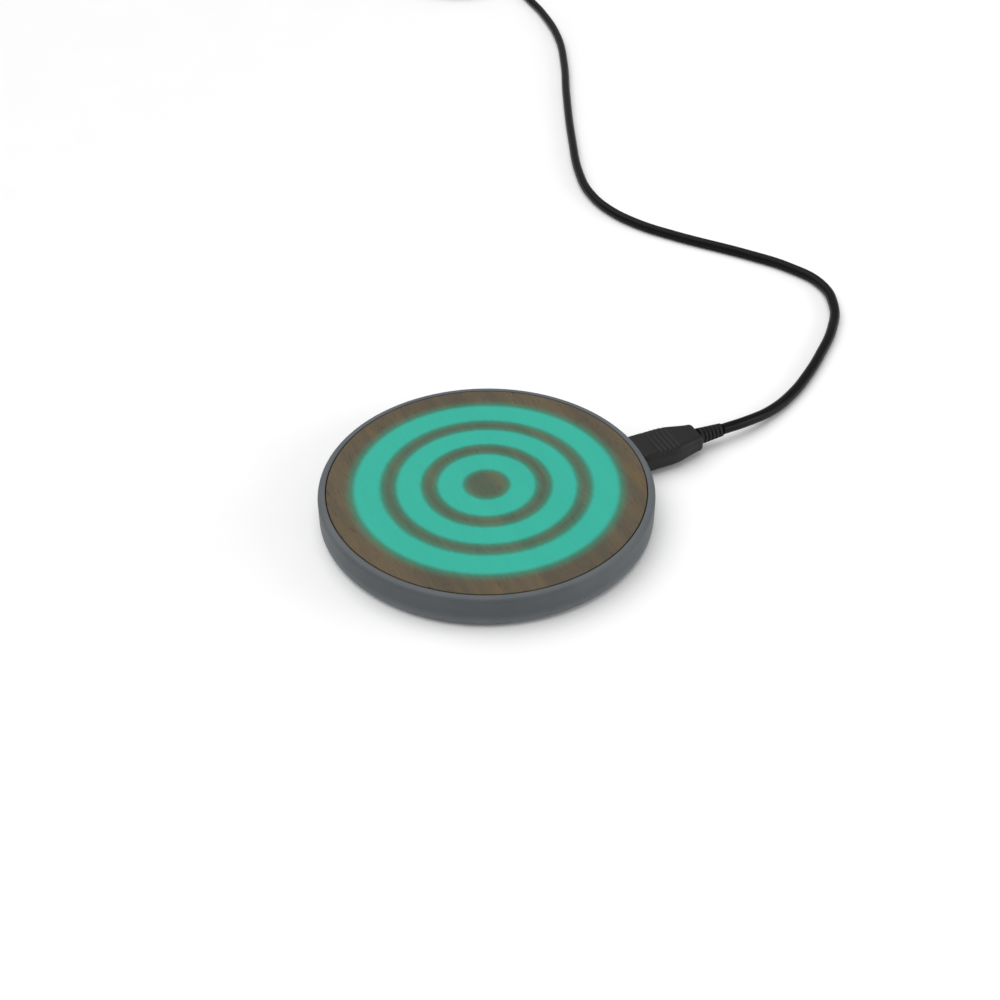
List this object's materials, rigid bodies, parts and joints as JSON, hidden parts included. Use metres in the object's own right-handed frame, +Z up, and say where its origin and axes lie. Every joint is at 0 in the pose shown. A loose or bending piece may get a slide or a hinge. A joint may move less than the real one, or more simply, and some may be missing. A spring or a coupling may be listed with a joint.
{
  "type": "wireless charging pad",
  "caption": "Low round charging pad with a wooden top, light rings behind it, a grey casing, an anti-slip base ring and a black plug-in cord.",
  "frame": {"origin": "middle of the pad on the surface it stands on", "axes": "+Z up, square to the charging surface; +X out through the socket and along the plug's pull; the top's grain runs along Y"},
  "size_m": [0.2156, 0.4616, 0.0093],
  "materials": {
    "casing_grey": "matt, fine grain",
    "wood_veneer": "satin, fine straight grain",
    "light_guide_clear": "clear, glows teal on its ribs",
    "lamp_lens": "clear lens",
    "copper_wire": "enamelled copper",
    "ferrite": "sintered, dark",
    "circuit_board": "green solder mask",
    "chip_package": "moulded",
    "capacitor_ceramic": "ceramic",
    "cover_black": "matt",
    "screw_steel": "plain",
    "ring_rubber": "soft, matt",
    "connector_steel": "plated",
    "connector_plastic": "moulded",
    "insert_white": "moulded",
    "grip_black": "satin",
    "relief_black": "satin",
    "tie_black": "woven hook-and-loop strap",
    "cord_black": "satin"
  },
  "bodies": {
    "pad": {"housing": "casing_grey", "wood_top": "wood_veneer", "light_guide": "light_guide_clear", "led_1": "lamp_lens", "led_2": "lamp_lens", "led_3": "lamp_lens", "led_4": "lamp_lens", "led_5": "lamp_lens", "led_6": "lamp_lens", "led_7": "lamp_lens", "led_8": "lamp_lens", "charging_coil": "copper_wire", "ferrite_shield": "ferrite", "main_board": "circuit_board", "controller_chip": "chip_package", "power_chip": "chip_package", "filter_choke": "chip_package", "capacitor_1": "capacitor_ceramic", "capacitor_2": "capacitor_ceramic", "capacitor_3": "capacitor_ceramic", "heat_sensor": "chip_package", "bottom_cover": "cover_black", "cover_screw_1": "screw_steel", "cover_screw_2": "screw_steel", "cover_screw_3": "screw_steel", "cover_screw_4": "screw_steel", "anti_slip_ring": "ring_rubber", "socket_shell": "connector_steel", "socket_tongue": "connector_plastic"},
    "cable": {"plug_shell": "connector_steel", "plug_grip": "grip_black", "plug_relief": "relief_black", "cord_lead": "cord_black", "cord_coil": "cord_black", "cord_tie": "tie_black", "cord_tail": "cord_black", "far_relief": "relief_black", "far_grip": "grip_black", "far_shell": "connector_steel", "far_insert": "insert_white"}
  },
  "joints": [
    {"name": "plug_pull", "type": "slide", "parent": "pad", "child": "cable", "axis": [1, 0, 0], "range_m": [0, 0.01]}
  ]
}
